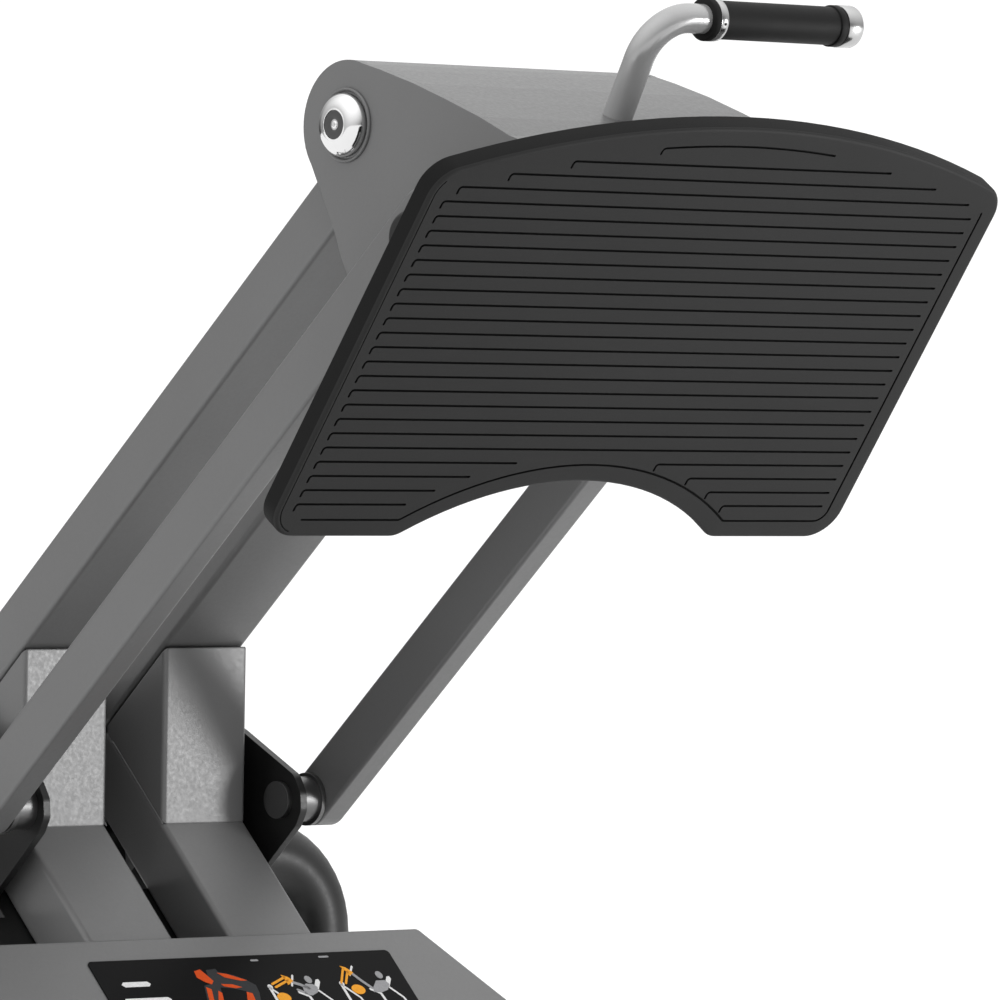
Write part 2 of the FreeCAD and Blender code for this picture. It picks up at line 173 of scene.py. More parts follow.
def rubber(name, tone, rough):
    n = Nodes(name)
    fine, broad = n.noise(1400.0, 3.0, 0.7), n.noise(18.0, 3.0)
    color = n.mix(n.remap(broad, 0.35, 0.7), grey(tone * 0.85), grey(tone * 1.2))
    normal = n.bump(fine, 0.35, 0.0004, n.soft_edges(0.001))
    return n.finish(color, n.remap(broad, 0.3, 0.7, rough - 0.06, rough + 0.06), normal,
                    Specular_IOR_Level=0.18)


def moulded(name, tone, rough, shine=0.45):
    n = Nodes(name)
    grain, broad = n.voronoi(1500.0), n.noise(5.0, 4.0)
    color = n.mix(n.remap(broad, 0.35, 0.65), grey(tone * 0.93), grey(tone * 1.07))
    normal = n.bump(grain, 0.3, 0.0003, n.soft_edges(0.0008))
    return n.finish(color, n.remap(broad, 0.3, 0.7, rough - 0.04, rough + 0.05), normal,
                    Specular_IOR_Level=shine)


def metal(name, tone, rough, streak=0.0):
    n = Nodes(name)
    stretch = n.new("ShaderNodeMapping")
    stretch.inputs["Scale"].default_value = (1.0, 14.0, 14.0)
    n.link(n.coord, stretch.inputs["Vector"])
    lines = n.noise(160.0, 4.0, 0.7, stretch.outputs["Vector"])
    smear = n.noise(35.0, 3.0)
    color = n.mix(n.remap(smear, 0.3, 0.7), grey(tone * 0.94), grey(tone))
    normal = n.bump(lines, streak, 0.0002, n.soft_edges(0.0006))
    return n.finish(color, n.remap(smear, 0.3, 0.75, rough, rough + 0.08), normal, Metallic=1.0)


def vinyl(name, tone):
    n = Nodes(name)
    cells, fine, broad = n.voronoi(420.0, "SMOOTH_F1"), n.noise(1200.0, 3.0), n.noise(9.0, 4.0)
    crease = n.noise(60.0, 5.0, 0.65)
    color = n.mix(n.remap(broad, 0.35, 0.65), grey(tone * 0.85, 1.01), grey(tone * 1.2, 1.01))
    height = n.math("ADD", cells, n.math("MULTIPLY", fine, 0.25))
    height = n.math("ADD", height, n.math("MULTIPLY", crease, 0.5))
    return n.finish(color, n.remap(broad, 0.3, 0.7, 0.52, 0.64), n.bump(height, 0.4, 0.0007),
                    Specular_IOR_Level=0.3, Sheen_Weight=0.05)


def ink(name, color, rough=0.35):
    n = Nodes(name)
    speck = n.noise(500.0, 3.0)
    deep = tuple(c * 0.88 for c in color[:3]) + (1.0,)
    return n.finish(n.mix(n.remap(speck, 0.4, 0.7), deep, color),
                    n.remap(speck, 0.3, 0.7, rough, rough + 0.08),
                    n.bump(speck, 0.05, 0.0001), Specular_IOR_Level=0.06)


M = {
    "frame_paint": powder_coat("satin_grey_powder_coat", 0.15, 0.42, 0.0018),
    "black_paint": powder_coat("satin_black_powder_coat", 0.008, 0.4),
    "rubber": rubber("black_rubber", 0.008, 0.6),
    "tread_plastic": moulded("grained_black_plate", 0.012, 0.58, 0.24),
    "steel": metal("turned_steel", 0.17, 0.36, 0.25),
    "chrome": metal("polished_chrome", 0.78, 0.07, 0.02),
    "placard_print": ink("black_print", (0.002, 0.002, 0.0022, 1.0), 0.3),
    "upholstery": vinyl("black_vinyl", 0.02),
    "board_black": moulded("black_board", 0.022, 0.6),
    "knob_plastic": moulded("black_knob", 0.014, 0.34),
}
# finishes that only some pieces of a slot have, and a darker copy of the plate's black that is painted shade
M["grip_tube"] = powder_coat("bright_grip_tube", 0.42, 0.2, 0.0006)
M["grip_band"] = metal("polished_grip_band", 0.5, 0.16, 0.03)
M["plug_grey"] = moulded("grey_plug", 0.045, 0.4)
# darker copy of the plate's black: painted shade on the plate's back, sides and the walls and floors of its
# grooves
M["plate_rim"] = moulded("black_plate_rim", 0.006, 0.62, 0.12)
OWN_FINISH = {"grip_stem": "grip_tube", "weight_horn_left": "grip_band", "weight_horn_right": "grip_band"}
SLOT = {s["node"]: s["material_slot"] for s in frame["record"]["subparts"]}
for name, obj in NODES.items():
    obj.data.materials.clear()
    obj.data.materials.append(M[OWN_FINISH.get(name, SLOT[name])])
PRINT = {
    "white": ink("white_print", (0.75, 0.75, 0.75, 1.0)),
    "grey": ink("grey_print", (0.035, 0.036, 0.038, 1.0)),
    "pale": ink("pale_print", (0.32, 0.32, 0.33, 1.0)),
    "amber": ink("amber_print", (0.85, 0.36, 0.03, 1.0)),
    "orange": ink("orange_print", (0.62, 0.075, 0.012, 1.0)),
}


# ---- mesh helpers ------------------------------------------------------------------------------------
def make(name, bm, material, body, smooth=True, angle=35):
    """Turn a bmesh into a piece that rides on a body."""
    bmesh.ops.recalc_face_normals(bm, faces=bm.faces)
    mesh = bpy.data.meshes.new(name)
    bm.to_mesh(mesh)
    bm.free()
    obj = bpy.data.objects.new(name, mesh)
    bpy.context.scene.collection.objects.link(obj)
    mesh.materials.append(material)
    if smooth:
        mesh.polygons.foreach_set("use_smooth", [True] * len(mesh.polygons))
        mesh.set_sharp_from_angle(angle=math.radians(angle))
    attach(obj, body)
    return obj


def circle(bm, x, r, centre, steps):
    """One row of points about the X axis."""
    return [bm.verts.new((x, centre.y + r * math.cos(a), centre.z + r * math.sin(a)))
            for a in (2 * math.pi * i / steps for i in range(steps))]


def lathe(profile, centre, side, steps):
    """Turn (x, radius) points about the X axis through a centre; side -1 mirrors them to the user's left."""
    bm, rings = bmesh.new(), []
    for x, r in profile:
        if r < 1e-6:
            rings.append([bm.verts.new((side * x, centre.y, centre.z))])
        else:
            rings.append(circle(bm, side * x, r, centre, steps))
    for a, b in zip(rings, rings[1:]):
        for i in range(steps):
            j = (i + 1) % steps
            quad = [a[i % len(a)], a[j % len(a)], b[j % len(b)], b[i % len(b)]]
            quad = list(dict.fromkeys(quad))
            if len(quad) > 2:
                bm.faces.new(quad)
    for end in (rings[0], rings[-1]):
        if len(end) > 1:
            bm.faces.new(end)
    return bm


def ring(profile, centre, side, steps):
    """Turn a closed (x, radius) profile about the X axis."""
    bm = bmesh.new()
    rows = [circle(bm, side * x, r, centre, steps) for x, r in profile]
    for a, b in zip(rows, rows[1:] + rows[:1]):
        for i in range(steps):
            j = (i + 1) % steps
            bm.faces.new((a[i], a[j], b[j], b[i]))
    return bm


# ---- cushions ----------------------------------------------------------------------------------------
BLANK_EDGE, SHRINK = 0.026, 0.005          # round edge of the blank, and how much smaller it starts
VOXEL, QUICK_VOXEL = 0.006, 0.0075         # remesh grid of the blank
BOARD_DEPTH = 0.008                        # foam this close to the board is held by it
CLOTH_FRAMES, MOST_SWELL = 20, 0.009       # length of the cloth run, and the furthest a point may move
CROWN, HIGHEST = 0.003, 0.006              # rise of the middle, and the highest point over the face
PIPE_R, PIPE_LIFT = 0.0032, 0.006          # piping, and its height over the back of the pad
STITCH_PITCH, STITCH_GAP = 0.0085, 0.0075  # thread stitches, and their distance from the channel


def seat_frame():
    """Origin, across, along and outward axes of the seat cushion's face."""
    origin = FRONT + Vector((0, -0.905, -0.345))
    return origin, Vector((1, 0, 0)), Vector((0, -math.cos(SEAT_TILT), -math.sin(SEAT_TILT))), \
        Vector((0, -math.sin(SEAT_TILT), math.cos(SEAT_TILT)))


def back_frame():
    """The same for the backrest's face."""
    origin = FRONT + Vector((0, -1.345, -0.372))
    return origin, Vector((1, 0, 0)), Vector((0, -math.cos(BACK_LEAN), math.sin(BACK_LEAN))), \
        Vector((0, math.sin(BACK_LEAN), math.cos(BACK_LEAN)))


def outline(length, low, high, corner, inset, step=0.009):
    """Closed outline of a tapered pad with round corners, pulled in by an inset."""
    quad = [Vector((-low, 0)), Vector((low, 0)), Vector((high, length)), Vector((-high, length))]
    centre = sum(quad, Vector((0, 0))) / 4
    points = []
    for i, p in enumerate(quad):
        a, b = quad[i - 1], quad[(i + 1) % 4]
        u, v = (a - p).normalized(), (b - p).normalized()
        half = u.angle(v) / 2
        c = p + (u + v).normalized() * (corner / math.sin(half))
        start, end = p + u * (corner / math.tan(half)), p + v * (corner / math.tan(half))
        a0, turn = (start - c), (start - c).angle_signed(end - c)
        for k in range(9):
            q = a0.copy()
            q.rotate(Matrix.Rotation(-turn * k / 8, 2))
            points.append(c + q.normalized() * (corner - min(inset, corner * 0.9)))
    dense = []
    for a, b in zip(points, points[1:] + points[:1]):
        n = max(1, int((b - a).length / step))
        dense += [a.lerp(b, i / n) for i in range(n)]
    return dense


def cushion(name, node, axes, length, low, high, corner, seams):
    """Foam pad under vinyl: a soft-edged blank, inflated as cloth, then sewn and piped."""
    origin, across, along, out = axes
    bm, rings = bmesh.new(), []
    layers = []
    for i in range(6):
        a = math.pi / 2 * i / 5
        layers.append((-SHRINK - BLANK_EDGE * (1 - math.sin(a)), SHRINK + BLANK_EDGE * (1 - math.cos(a))))
    layers = sorted(layers, key=lambda layer: layer[0], reverse=True)
    layers += [(-PAD_T * 0.62, SHRINK), (-PAD_T + 0.006, SHRINK), (-PAD_T + 0.0005, SHRINK + 0.006)]
    for depth, pulled_in in layers:
        loop = outline(length, low, high, corner, pulled_in)
        rings.append([bm.verts.new(origin + across * p.x + along * p.y + out * depth) for p in loop])
    for a, b in zip(rings, rings[1:]):
        for i in range(len(a)):
            j = (i + 1) % len(a)
            bm.faces.new((a[i], a[j], b[j], b[i]))
    bm.faces.new(rings[0])
    bm.faces.new(rings[-1])
    obj = make(name, bm, M["upholstery"], "seat_unit")
    remesh = obj.modifiers.new("grid", "REMESH")
    remesh.mode, remesh.voxel_size = "VOXEL", VOXEL
    bake(obj)
    co = coords(obj)
    rest = co.copy()
    o, n = np.array(origin), np.array(out)
    depth = (co - o) @ n
    held = obj.vertex_groups.new(name="board")
    held.add([int(i) for i in np.nonzero(depth < -PAD_T + BOARD_DEPTH)[0]], 1.0, "REPLACE")
    cloth = obj.modifiers.new("cloth", "CLOTH")
    cloth.settings.quality = 5
    cloth.settings.mass = 0.3
    cloth.settings.tension_stiffness = cloth.settings.compression_stiffness = 14
    cloth.settings.bending_stiffness = 1.0
    cloth.settings.use_pressure = True
    cloth.settings.uniform_pressure_force = 4.0
    cloth.settings.effector_weights.gravity = 0.0
    cloth.settings.vertex_group_mass = "board"
    cloth.collision_settings.use_collision = False
    cloth.point_cache.frame_start, cloth.point_cache.frame_end = 1, CLOTH_FRAMES
    for f in range(1, CLOTH_FRAMES + 1):
        bpy.context.scene.frame_set(f)
    bake(obj)
    bpy.context.scene.frame_set(1)
    co = coords(obj)
    move = co - rest
    far = np.linalg.norm(move, axis=1, keepdims=True)
    co = rest + move * np.minimum(1.0, MOST_SWELL / np.maximum(far, 1e-9))
    along_v, across_v = np.array(along), np.array(across)
    depth, v, u = (co - o) @ n, (co - o) @ along_v, (co - o) @ across_v
    top = np.clip((depth + 0.03) / 0.02, 0, 1)
    for at in seams:
        pull = 0.0042 * np.exp(-((v - at) / 0.0045) ** 2) + 0.003 * np.exp(-((v - at) / 0.016) ** 2)
        co -= n * (pull * top)[:, None]
    crown = CROWN * np.cos(np.clip(u / max(low, high), -1, 1) * math.pi / 2)
    co += n * (crown * top)[:, None]
    over = (co - o) @ n
    co -= n * np.maximum(0, over - HIGHEST)[:, None]
    obj.data.vertices.foreach_set("co", co.astype(np.float32).ravel())
    obj.data.update()
    smooth_over(obj)
    sub = obj.modifiers.new("fine", "SUBSURF")
    sub.levels = sub.render_levels = 1
    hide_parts(node)
    piping(name + "_piping", axes, length, low, high, corner)
    for k, at in enumerate(seams):
        stitches("%s_stitch_%d" % (name, k), axes, at, length, low, high)


def coords(obj):
    co = np.zeros(len(obj.data.vertices) * 3)
    obj.data.vertices.foreach_get("co", co)
    return co.reshape(-1, 3)


def smooth_over(obj):
    obj.data.polygons.foreach_set("use_smooth", [True] * len(obj.data.polygons))


def bake(obj):
    """Apply every modifier on an object."""
    deps = bpy.context.evaluated_depsgraph_get()
    mesh = bpy.data.meshes.new_from_object(obj.evaluated_get(deps))
    obj.modifiers.clear()
    old = obj.data
    obj.data = mesh
    mesh.name = obj.name
    bpy.data.meshes.remove(old)


def piping(name, axes, length, low, high, corner):
    """A round bead swept along the pad's closed outline."""
    origin, across, along, out = axes
    loop = outline(length, low, high, corner, 0.002, 0.02)
    points = [origin + across * p.x + along * p.y - out * (PAD_T - PIPE_LIFT) for p in loop]
    up, sides = Vector((0.31, 0.52, 0.79)), 8      # no part of the outline runs along this direction
    bm, rings = bmesh.new(), []
    for i, p in enumerate(points):
        t = (points[(i + 1) % len(points)] - points[i - 1]).normalized()
        e = t.cross(up).normalized()
        f = t.cross(e)
        rings.append([bm.verts.new(p + (e * math.cos(w) + f * math.sin(w)) * PIPE_R)
                      for w in (2 * math.pi * k / sides for k in range(sides))])
    for a, b in zip(rings, rings[1:] + rings[:1]):
        for k in range(sides):
            m = (k + 1) % sides
            bm.faces.new((a[k], a[m], b[m], b[k]))
    make(name, bm, M["upholstery"], "seat_unit", angle=60)


def stitches(name, axes, at, length, low, high):
    """A row of short thread stitches beside a sewn channel."""
    origin, across, along, out = axes
    half = low + (high - low) * at / length - 0.03
    bm = bmesh.new()
    count = int(2 * half / STITCH_PITCH)
    for i in range(count):
        x = -half + 2 * half * (i + 0.5) / count
        c = origin + across * x + along * (at + STITCH_GAP) - out * 0.0005
        matrix = Matrix.Translation(c) @ Matrix(((across.x, along.x, out.x), (across.y, along.y, out.y),
                                                 (across.z, along.z, out.z))).to_4x4()
        bmesh.ops.create_uvsphere(bm, u_segments=6, v_segments=4, radius=1.0,
                                  matrix=matrix @ Matrix.Diagonal((0.0028, 0.0007, 0.0007, 1.0)))
    make(name, bm, M["board_black"], "seat_unit")


# name, node, axes, length, half widths low and high, corner radius, seams along the length
cushion("seat_cushion", "seat_pad", seat_frame(), 0.430, 0.225, 0.205, 0.045, [0.1])
cushion("back_cushion", "back_pad", back_frame(), 0.760, 0.200, 0.150, 0.055, [0.19, 0.57])

# ---- ribbed foot plate ---------------------------------------------------------------------------------
ROWS, FIRST_ROW, ROW_PITCH = 25, 0.0364, 0.0154
MID, HALF_SPAN, HOOK = -0.0057, 0.3193, 0.0034     # centre and reach of the rows, and their hooked left ends
TOP_R, TOP_DROP = 0.978, 0.553                     # curve that ends the upper rows, centre below the foot
ARCH_R, ARCH_DROP = 0.356, 0.263                   # curve that parts the lower rows
ARC_REACH, ARC_R = 0.107, 0.981                    # the short arc over the rows
GROOVE = 0.0026
PLATE_EDGE, PLATE_CHAMFER = 0.004, 0.0008


def plate_outline():
    """The CAD plate's flat back as one loop of (across, up) points, counter-clockwise."""
    obj = NODES["foot_plate"]
    points = [obj.matrix_world @ v.co - PLATE_FOOT for v in obj.data.vertices]
    flat = [abs(p.dot(PLATE_BACK) - PLATE_T) < 5e-5 for p in points]
    key = [(round(p.x, 5), round(p.dot(PLATE_UP), 5)) for p in points]
    count = {}
    for face in obj.data.polygons:
        if all(flat[i] for i in face.vertices):
            loop = [key[i] for i in face.vertices]
            for a, b in zip(loop, loop[1:] + loop[:1]):
                if a != b:
                    count[frozenset((a, b))] = count.get(frozenset((a, b)), 0) + 1
    near = {}
    for edge in (e for e, n in count.items() if n == 1):
        a, b = sorted(edge)
        near.setdefault(a, []).append(b)
        near.setdefault(b, []).append(a)
    start = min(near)
    loop, last, here = [start], None, start
    while True:
        step = [q for q in near[here] if q != last][0]
        if step == start:
            break
        loop.append(step)
        last, here = here, step
    area = sum(a[0] * b[1] - b[0] * a[1] for a, b in zip(loop, loop[1:] + loop[:1]))
    return [Vector(p) for p in (loop if area > 0 else loop[::-1])]


def inset(loop, amount):
    """Pull a counter-clockwise loop inwards."""
    out = []
    for i, p in enumerate(loop):
        u, v = (p - loop[i - 1]).normalized(), (loop[(i + 1) % len(loop)] - p).normalized()
        n = Vector((-u.y - v.y, u.x + v.x)).normalized()
        out.append(p + n * (amount / max(0.5, n.dot(Vector((-u.y, u.x))))))
    return out


def ribbon(path, half, tip=0.8):
    """Closed loop round an open path; tip is how far its pointed ends reach, in half widths."""
    left, right = [], []
    for i, p in enumerate(path):
        a, b = path[max(0, i - 1)], path[min(len(path) - 1, i + 1)]
        t = (b - a).normalized()
        n = Vector((-t.y, t.x)) * half
        left.append(p + n)
        right.append(p - n)
    head = (path[0] - path[1]).normalized() * half * tip
    tail = (path[-1] - path[-2]).normalized() * half * tip
    return right + [path[-1] + tail] + left[::-1] + [path[0] + head]


def tread_lines():
    """Slots of the tread: (path, half width, depth)."""
    slots = []
    quarter = [math.pi / 2 * k / 6 for k in range(6, -1, -1)]
    for i in range(ROWS):
        s = FIRST_ROW + i * ROW_PITCH
        span = min(HALF_SPAN, math.sqrt(TOP_R ** 2 - (s + TOP_DROP) ** 2))
        arch = ARCH_R ** 2 - (s + ARCH_DROP) ** 2
        gap = math.sqrt(arch) if arch > 0 else 0.0
        left, right = MID - span, MID + span
        for start, stop in ([(left, MID - gap), (MID + gap, right)] if gap else [(left, right)]):
            bend = [Vector((start + HOOK * (1 - math.sin(a)), s - HOOK * (1 - math.cos(a)))) for a in quarter]
            bend = [bend[0] + Vector((0, -0.0038))] + bend
            slots.append((bend + [Vector((stop, s))], 0.0012, GROOVE))
    arc = [Vector((x, math.sqrt(ARC_R ** 2 - x ** 2) - TOP_DROP))
           for x in (ARC_REACH * (k / 12 - 1) for k in range(1, 25))]
    drop = arc[0] + Vector((-HOOK, -HOOK))
    bend = [drop + Vector((0, -0.003)), drop, drop + Vector((HOOK * 0.3, HOOK * 0.7))]
    slots.append((bend + arc, 0.0011, GROOVE))
    return slots


def stretch(loop, start, stop):
    """The part of a loop from the point nearest start to the point nearest stop."""
    first, last = (min(range(len(loop)), key=lambda i: (loop[i] - p).length)
                   for p in (Vector(start), Vector(stop)))
    return [loop[(first + k) % len(loop)] for k in range((last - first) % len(loop) + 1)]


def border_lines(loop):
    """The long line along the foot, arch and right side, and the fine one beside the left rim."""
    long_line = stretch(inset(loop, 0.0195), (-0.311, 0.0195), (0.320, 0.366))
    side_line = stretch(inset(loop, 0.0056), (-0.328, 0.378), (-0.318, 0.008))
    return [(long_line, 0.0011, GROOVE), (side_line, 0.0006, 0.0007)]


def foot_plate():
    """The plate with its round front edge and sunk grooves, cut as one triangulated face."""
    across = Vector((1, 0, 0))
    bm, cache = bmesh.new(), {}

    def vert(p, depth):
        key = (round(p.x * 1e6), round(p.y * 1e6), round(depth * 1e6))
        if key not in cache:
            cache[key] = bm.verts.new(PLATE_FOOT + across * p.x + PLATE_UP * p.y + PLATE_BACK * depth)
        return cache[key]

    def wall(a, depth_a, b, depth_b, material=0):
        for i in range(len(a)):
            j = (i + 1) % len(a)
            quad = list(dict.fromkeys((vert(a[i], depth_a), vert(a[j], depth_a),
                                       vert(b[j], depth_b), vert(b[i], depth_b))))
            if len(quad) > 2:
                face = bm.faces.new(quad)
                face.material_index = material

    loop = plate_outline()
    rows = [(inset(loop, PLATE_CHAMFER), PLATE_T), (loop, PLATE_T - PLATE_CHAMFER)]
    for k in range(7):
        a = math.pi / 2 * k / 6
        rows.append((inset(loop, PLATE_EDGE * (1 - math.cos(a))), PLATE_EDGE * (1 - math.sin(a))))
    # the back, its chamfer, the side wall and the start of the round edge take the darker copy: painted shade
    for k, ((a, da), (b, db)) in enumerate(zip(rows, rows[1:])):
        wall(a, da, b, db, 1 if k < 3 else 0)
    bm.faces.new([vert(p, PLATE_T) for p in rows[0][0]]).material_index = 1
    face_loop = rows[-1][0]
    slots = tread_lines() + border_lines(loop)
    loops = [face_loop] + [ribbon(path, half) for path, half, _ in slots]
    points, edges, faces = [], [], []
    for ring_points in loops:
        base, n = len(points), len(ring_points)
        points += ring_points
        edges += [(base + i, base + (i + 1) % n) for i in range(n)]
        faces.append([base + i for i in range(n)])
    verts, _, tris, _, _, owner = delaunay_2d_cdt(points, edges, faces, 1, 1e-7)
    for tri, owners in zip(tris, owner):
        if owners == [0]:
            bm.faces.new([vert(verts[i], 0.0) for i in tri])
    # groove walls and floors take the darker copy too: painted shade in the recesses
    for shape, (_, half, depth) in zip(loops[1:], slots):
        wall(shape, 0.0, shape, depth, 1)
        bm.faces.new([vert(p, depth) for p in shape]).material_index = 1
    obj = make("ribbed_foot_plate", bm, M["tread_plastic"], "carriage", angle=30)
    obj.data.materials.append(M["plate_rim"])
    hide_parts("foot_plate")


foot_plate()


# ---- instruction placard: shapes only, no lettering ----------------------------------------------------
CARD_TOP, CARD_LIFT = 0.180, 0.0095


def card_point(u, v, lift=0.0):
    """Point u mm across and v mm down the printed card."""
    s, d = CARD_TOP + v / 1000, CARD_LIFT + lift
    return COLUMN_TOP + Vector((u / 1000, -s * math.cos(LEAN) - d * math.sin(LEAN),
                                -s * math.sin(LEAN) + d * math.cos(LEAN)))


def stroke(points, width):
    """Outline of a drawn line, in mm on the card."""
    return ribbon([Vector(p) for p in points], width / 2, 1.0)


def oval(centre, rx, ry):
    return [Vector(centre) + Vector((rx * math.cos(a), ry * math.sin(a)))
            for a in (math.pi * i / 12 for i in range(24))]


def printed(name, color, shapes, lift=0.00015):
    """Ink shapes that stand a hair's breadth over the card."""
    bm = bmesh.new()
    for shape in shapes:
        base = [bm.verts.new(card_point(p[0], p[1], -0.0001)) for p in shape]
        top = [bm.verts.new(card_point(p[0], p[1], lift)) for p in shape]
        bm.faces.new(top)
        for i in range(len(top)):
            j = (i + 1) % len(top)
            bm.faces.new((base[i], base[j], top[j], top[i]))
    make(name, bm, PRINT[color], "frame", False)


def moved(shapes, du, dv):
    return [[(p[0] + du, p[1] + dv) for p in shape] for shape in shapes]


printed("title_bars", "white", [stroke([(-137, 30), (-108, 30)], 6), stroke([(-145, 50), (-94, 50)], 6),
                                stroke([(-150, 72), (-104, 72)], 5)])
printed("muscle_leg", "grey", [
    [(-30, 16), (-18, 15), (-17, 19), (0, 24), (11, 30), (19, 37), (18, 46), (12, 62), (2, 90), (-4, 90),
     (3, 62), (3, 44), (-10, 40), (-25, 38), (-33, 62), (-40, 92), (-58, 92), (-52, 60), (-43, 35), (-32, 33),
     (-32, 24)]])
printed("muscle_heads", "orange", [
    [(-45, 17), (-37, 15), (-33, 22), (-29, 30), (-33, 34), (-39, 31), (-46, 25)],
    [(-19, 20), (-8, 22), (12, 31), (4, 31), (-13, 26)],
    [(-22, 34), (-9, 35), (1, 39), (-7, 40), (-20, 37)],
    [(-42, 37), (-37, 40), (-44, 60), (-50, 78), (-52, 76), (-48, 55)],
    [(-30, 42), (-27, 45), (-34, 64), (-42, 78), (-40, 60)],
    [(3, 45), (9, 47), (7, 60), (0, 76), (-5, 62)]], 0.0003)
FRAME_LINES = [
    stroke([(34, 40), (34, 62), (22, 100)], 3.2), stroke([(34, 41), (48, 58), (56, 100)], 2.4),
    stroke([(10, 104), (96, 104)], 3.4), stroke([(70, 27), (62, 40)], 2.2),
    stroke([(66, 48), (76, 54), (80, 100)], 3.0),
    stroke([(91, 47), (101, 60), (104, 82)], 2.4), stroke([(97, 35), (90, 44)], 5.0), oval((35, 40), 3, 3)]
FIGURE = [stroke([(66, 36), (73, 39), (81, 44)], 3.6), oval((86, 33), 4.2, 4.6),
          [(74, 42), (80, 38), (88, 39), (92, 43), (89, 49), (80, 53), (72, 51)],
          stroke([(74, 50), (66, 45)], 3.0)]
printed("machine_start", "white", FRAME_LINES)
printed("figure_start", "pale", FIGURE, 0.0003)
printed("links_start", "amber", [stroke([(39, 37), (59, 29)], 2.4), stroke([(41, 41), (61, 33)], 2.4),
                                 [(56, 26), (63, 29), (67, 34), (58, 39), (58, 33)],
                                 oval((44, 54), 8, 6)], 0.00045)
END_LINES = moved([FRAME_LINES[i] for i in (0, 1, 2, 4, 5, 6, 7)], 89, 0)
END_LINES += [stroke([(149, 19), (140, 30)], 2.2)]
printed("machine_finish", "white", END_LINES)
printed("figure_finish", "pale", [stroke([(144, 28), (150, 37), (158, 47)], 3.4), oval((176, 31), 4.2, 4.6),
                                  [(160, 46), (168, 38), (179, 38), (182, 43), (176, 50), (166, 53),
                                   (157, 52)]], 0.0003)
printed("links_finish", "amber", [stroke([(124, 39), (136, 22)], 2.4), stroke([(129, 40), (140, 25)], 2.4),
                                  [(134, 18), (140, 20), (146, 27), (139, 31), (138, 25)],
                                  oval((140, 48), 8, 6)], 0.00045)
TEXT_BARS = [stroke([(-150, 140 + 14 * k), (-150 + (300 if k % 3 else 210), 140 + 14 * k)], 3.0)
             for k in range(8)]
printed("label_bars", "pale", [stroke([(31, 6.5), (39, 6.5)], 2.2), stroke([(116, 5.5), (127, 5.5)], 2.2)]
        + TEXT_BARS)

# ---- weld beads ----------------------------------------------------------------------------------------
BEAD_R, RIPPLE = 0.0009, 0.0022
SEAM_X, SEAM_LOW, SEAM_HIGH = 0.0347, 0.0037, -0.105      # on the stop blocks' inner sides


def bead(name, start, end, radius):
    """A weld run with its ripple."""
    count = max(6, int((end - start).length / RIPPLE))
    bm, rows = bmesh.new(), []
    t = (end - start).normalized()
    e = t.orthogonal().normalized()
    f = t.cross(e)
    for i in range(count + 1):
        r = radius * (1.0 + 0.14 * math.sin(i * 2.4)) * (0.6 if i in (0, count) else 1.0)
        c = start.lerp(end, i / count)
        rows.append([bm.verts.new(c + (e * math.cos(w) + f * math.sin(w)) * r)
                     for w in (2 * math.pi * k / 8 for k in range(8))])
    for a, b in zip(rows, rows[1:]):
        for k in range(8):
            m = (k + 1) % 8
            bm.faces.new((a[k], a[m], b[m], b[k]))
    bm.faces.new(rows[0])
    bm.faces.new(rows[-1])
    make(name, bm, M["frame_paint"], "frame", angle=60)


def column_point(x, s):
    """Point s metres down the columns' face from its top."""
    return COLUMN_TOP + Vector((x, -s * math.cos(LEAN), -s * math.sin(LEAN)))


for side, word in ((1, "right"), (-1, "left")):
    bead("weld_seam_" + word, column_point(side * SEAM_X, SEAM_LOW), column_point(side * SEAM_X, SEAM_HIGH),
         BEAD_R)

# ---- turned caps at the carriage pivot -----------------------------------------------------------------
SIDE = 0.180                                       # outer face of the carriage sides
CAP_LOW, CAP_HIGH = SIDE + 0.0042, SIDE + 0.0152   # where the dome starts and ends
CAP_RIM, CAP_EYE = 0.0290, 0.0142                  # radii of the dome's foot and of its flat eye
for side, word in ((1, "right"), (-1, "left")):
    low, high, rim, eye = CAP_LOW, CAP_HIGH, CAP_RIM, CAP_EYE
    profile = [(SIDE, 0.0), (SIDE, rim), (low, rim)]
    for i in range(1, 17):
        a = math.pi / 2 * i / 16
        profile.append((low + (high - low) * math.sin(a) ** 0.9,
                        rim - (rim - eye) * (1 - math.cos(a)) ** 0.8))
    profile += [(high + 0.0003, eye - 0.0004), (high, eye - 0.0010), (high - 0.0012, eye - 0.0012),
                (high - 0.0012, 0.0)]
    cap = make("pivot_cap_" + word, lathe(profile, U1, side, 96), M["chrome"], "carriage", angle=50)
    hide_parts("shaft_cap_" + word)
    lip = [(SIDE, 0.0300), (SIDE, 0.0338), (SIDE + 0.0016, 0.0336), (SIDE + 0.0026, 0.0329),
           (SIDE + 0.0028, 0.0322), (SIDE + 0.0024, 0.0316), (SIDE + 0.0006, 0.0303)]
    make("pivot_lip_" + word, ring(lip, U1, side, 96), M["frame_paint"], "carriage", angle=50)
    plug = [(high - 0.0014, 0.0), (high - 0.0014, 0.0128), (high - 0.0004, 0.0127), (high - 0.0001, 0.0120),
            (high - 0.0002, 0.0070), (high - 0.0010, 0.0050), (high - 0.0022, 0.0046), (high - 0.0022, 0.0)]
    make("pivot_plug_" + word, lathe(plug, U1, side, 64), M["plug_grey"], "carriage")
    screw = [(high - 0.0024, 0.0), (high - 0.0024, 0.0040), (high - 0.0008, 0.0037), (high - 0.0001, 0.0026),
             (high - 0.0001, 0.0018), (high - 0.0014, 0.0015), (high - 0.0014, 0.0)]
    make("pivot_screw_" + word, lathe(screw, U1, side, 24), M["chrome"], "carriage", angle=40)

# ---- bands of the hand grip ----------------------------------------------------------------------------
sleeve_low, sleeve_high = (Vector(p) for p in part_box("grip_sleeve"))
end_low, _ = (Vector(p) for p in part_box("grip_end"))
GRIP = Vector((0, (sleeve_low.y + sleeve_high.y) / 2, (sleeve_low.z + sleeve_high.z) / 2))


